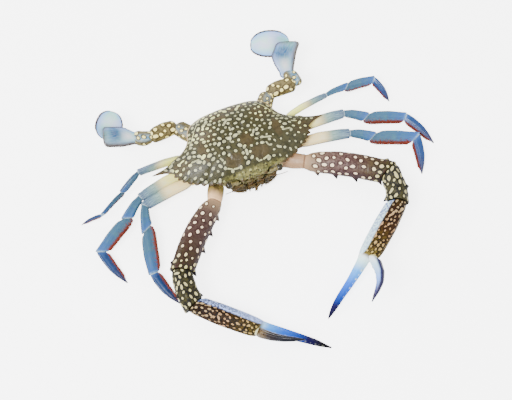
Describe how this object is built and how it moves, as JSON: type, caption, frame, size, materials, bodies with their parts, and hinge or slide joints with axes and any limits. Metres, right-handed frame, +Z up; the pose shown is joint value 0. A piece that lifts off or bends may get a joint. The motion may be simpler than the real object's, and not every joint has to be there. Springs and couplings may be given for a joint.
{
  "type": "blue swimming crab model",
  "caption": "Life-size still model of a male blue swimming crab resting on its belly, claws forward, walking legs spread and paddles raised behind.",
  "frame": {"origin": "on the floor under the middle of the body, on the flat underside of the tail flap", "axes": "+X to the crab's left, -Y the way it faces, +Z up"},
  "size_m": [0.3133, 0.2885, 0.0404],
  "materials": {
    "shell": "olive brown shell, cream spots ringed dark, finely granular, half matt",
    "belly": "smooth cream shell, satin",
    "eye": "black-brown cornea, glossy",
    "feeler": "brown horny whip, satin",
    "mouthparts": "dark brown hairy plates, matt",
    "cheliped_base": "yellow-tan shell, satin",
    "claw_arm": "mauve-brown shell with cream spots ringed dark, granular",
    "claw_hand": "brown netted cream above, blue-white within, satin",
    "claw_finger": "blue to purple-black at the tip, glossy",
    "leg_base": "cream shell, satin",
    "leg_upper": "cream to grey-blue shell, satin",
    "leg_lower": "teal blue shell, red-orange hair on one edge, satin",
    "leg_tip": "deep blue shell, red-orange hair on one edge, satin",
    "swimmer_arm": "olive brown shell with cream spots, satin",
    "paddle": "pale blue thin shell with a dark brown rim, satin"
  },
  "bodies": {
    "root": {"carapace": "shell", "thorax": "belly", "abdomen": "belly", "eye_left": "eye", "antenna_left": "feeler", "mouth_left": "mouthparts", "cheliped_left_ischium": "cheliped_base", "cheliped_left_merus": "claw_arm", "cheliped_left_carpus": "claw_arm", "cheliped_left_palm": "claw_hand", "cheliped_left_finger": "claw_finger", "leg2_left_ischium": "leg_base", "leg2_left_merus": "leg_upper", "leg2_left_carpus": "leg_lower", "leg2_left_propodus": "leg_lower", "leg2_left_dactyl": "leg_tip", "leg3_left_ischium": "leg_base", "leg3_left_merus": "leg_upper", "leg3_left_carpus": "leg_lower", "leg3_left_propodus": "leg_lower", "leg3_left_dactyl": "leg_tip", "leg4_left_ischium": "leg_base", "leg4_left_merus": "leg_upper", "leg4_left_carpus": "leg_lower", "leg4_left_propodus": "leg_lower", "leg4_left_dactyl": "leg_tip", "swimmer_left_coxa": "leg_base", "swimmer_left_merus": "swimmer_arm", "swimmer_left_carpus": "swimmer_arm", "swimmer_left_propodus": "paddle", "swimmer_left_paddle": "paddle", "eye_right": "eye", "antenna_right": "feeler", "mouth_right": "mouthparts", "cheliped_right_ischium": "cheliped_base", "cheliped_right_merus": "claw_arm", "cheliped_right_carpus": "claw_arm", "cheliped_right_palm": "claw_hand", "cheliped_right_finger": "claw_finger", "leg2_right_ischium": "leg_base", "leg2_right_merus": "leg_upper", "leg2_right_carpus": "leg_lower", "leg2_right_propodus": "leg_lower", "leg2_right_dactyl": "leg_tip", "leg3_right_ischium": "leg_base", "leg3_right_merus": "leg_upper", "leg3_right_carpus": "leg_lower", "leg3_right_propodus": "leg_lower", "leg3_right_dactyl": "leg_tip", "leg4_right_ischium": "leg_base", "leg4_right_merus": "leg_upper", "leg4_right_carpus": "leg_lower", "leg4_right_propodus": "leg_lower", "leg4_right_dactyl": "leg_tip", "swimmer_right_coxa": "leg_base", "swimmer_right_merus": "swimmer_arm", "swimmer_right_carpus": "swimmer_arm", "swimmer_right_propodus": "paddle", "swimmer_right_paddle": "paddle"}
  },
  "joints": []
}
